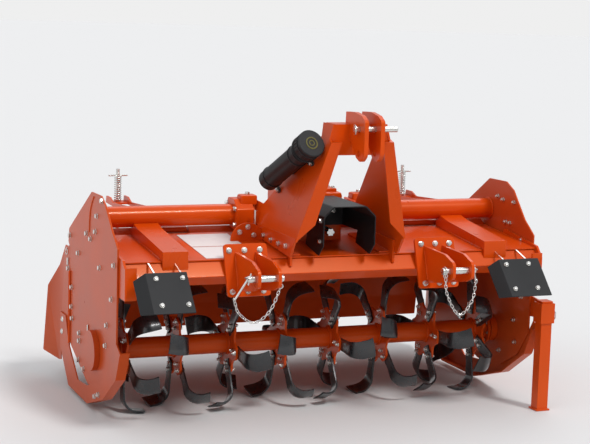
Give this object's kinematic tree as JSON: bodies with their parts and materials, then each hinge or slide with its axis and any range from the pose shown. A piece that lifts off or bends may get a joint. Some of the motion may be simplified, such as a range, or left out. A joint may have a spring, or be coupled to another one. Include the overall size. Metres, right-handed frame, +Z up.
{
  "type": "rotary tiller",
  "caption": "Tractor-mounted rotary tiller with a bladed rotor under a hood, a three-point mast, side skids, a rear board on spring rods and a front parking stand.",
  "frame": {"origin": "middle of the bounding box at floor level", "axes": "+X across the machine towards its drive-case side, +Y from the tractor hitch to the rear board, +Z up"},
  "size_m": [2.0295, 1.486, 1.3495],
  "materials": {
    "orange_paint": "glossy paint",
    "black_plastic": "moulded, slightly glossy",
    "blade_steel": "glossy black dip over forged steel",
    "zinc_plate": "zinc plated"
  },
  "bodies": {
    "frame": {"beam_end_left": "orange_paint", "beam_end_right": "orange_paint", "cross_tube_left": "orange_paint", "cross_tube_right": "orange_paint", "front_beam": "orange_paint", "gearbox": "orange_paint", "guard_flap_left": "black_plastic", "guard_flap_right": "black_plastic", "hinge_pin": "zinc_plate", "hitch_bracket_left": "orange_paint", "hitch_bracket_right": "orange_paint", "hood_deck": "orange_paint", "hood_strut_left": "orange_paint", "hood_strut_right": "orange_paint", "lower_link_pin_left": "zinc_plate", "lower_link_pin_right": "zinc_plate", "manual_canister": "black_plastic", "mast_foot_left": "orange_paint", "mast_foot_right": "orange_paint", "mast_head": "orange_paint", "mast_leg_left": "orange_paint", "mast_leg_right": "orange_paint", "pto_shield": "black_plastic", "rear_wing_left": "orange_paint", "rear_wing_right": "orange_paint", "rod_guide_left": "orange_paint", "rod_guide_right": "orange_paint", "rotor_bearing_left": "orange_paint", "side_drive_case": "orange_paint", "side_plate_left": "orange_paint", "side_plate_right": "orange_paint", "skid_left": "orange_paint", "skid_right": "orange_paint", "stand_socket": "orange_paint", "top_link_pin": "zinc_plate", "tube_clamp_left": "orange_paint", "tube_clamp_right": "orange_paint"},
    "rotor": {"rotor_tube": "orange_paint", "blade_gang_1": "blade_steel", "blade_gang_2": "blade_steel", "blade_gang_3": "blade_steel", "blade_gang_4": "blade_steel", "blade_gang_5": "blade_steel", "blade_gang_6": "blade_steel", "blade_gang_7": "blade_steel", "blade_gang_8": "blade_steel"},
    "pto_shaft": {"pto_shaft": "zinc_plate"},
    "tailboard": {"tailboard": "orange_paint"},
    "board_rod_left": {"board_rod_left": "zinc_plate", "board_spring_left": "zinc_plate"},
    "board_rod_right": {"board_rod_right": "zinc_plate", "board_spring_right": "zinc_plate"},
    "stand_leg": {"stand_leg": "orange_paint"},
    "canister_cap": {"canister_cap": "black_plastic"}
  },
  "joints": [
    {"name": "rotor_spin", "type": "hinge", "parent": "frame", "child": "rotor", "pos_m": [-0.0005, -0.057, 0.28], "axis": [1, 0, 0], "continuous": true},
    {"name": "pto_spin", "type": "hinge", "parent": "frame", "child": "pto_shaft", "pos_m": [-0.0005, -0.177, 0.805], "axis": [0, 1, 0], "continuous": true},
    {"name": "tailboard_hinge", "type": "hinge", "parent": "frame", "child": "tailboard", "pos_m": [-0.0005, 0.065, 0.775], "axis": [1, 0, 0], "range_deg": [0, 12]},
    {"name": "board_rod_left_pivot", "type": "hinge", "parent": "tailboard", "child": "board_rod_left", "pos_m": [-0.7275, 0.488, 0.7], "axis": [1, 0, 0], "range_deg": [-12, 0]},
    {"name": "board_rod_right_pivot", "type": "hinge", "parent": "tailboard", "child": "board_rod_right", "pos_m": [0.7265, 0.488, 0.7], "axis": [1, 0, 0], "range_deg": [-12, 0]},
    {"name": "stand_slide", "type": "slide", "parent": "frame", "child": "stand_leg", "axis": [0, 0, 1], "range_m": [0, 0.12]},
    {"name": "canister_cap_slide", "type": "slide", "parent": "frame", "child": "canister_cap", "axis": [0.1284, -0.8663, 0.4827], "range_m": [0, 0.06]}
  ],
  "couplings": [
    {"joint": "pto_spin", "follows": "rotor_spin", "ratio": 2.5},
    {"joint": "board_rod_left_pivot", "follows": "tailboard_hinge", "ratio": -1},
    {"joint": "board_rod_right_pivot", "follows": "tailboard_hinge", "ratio": -1}
  ]
}
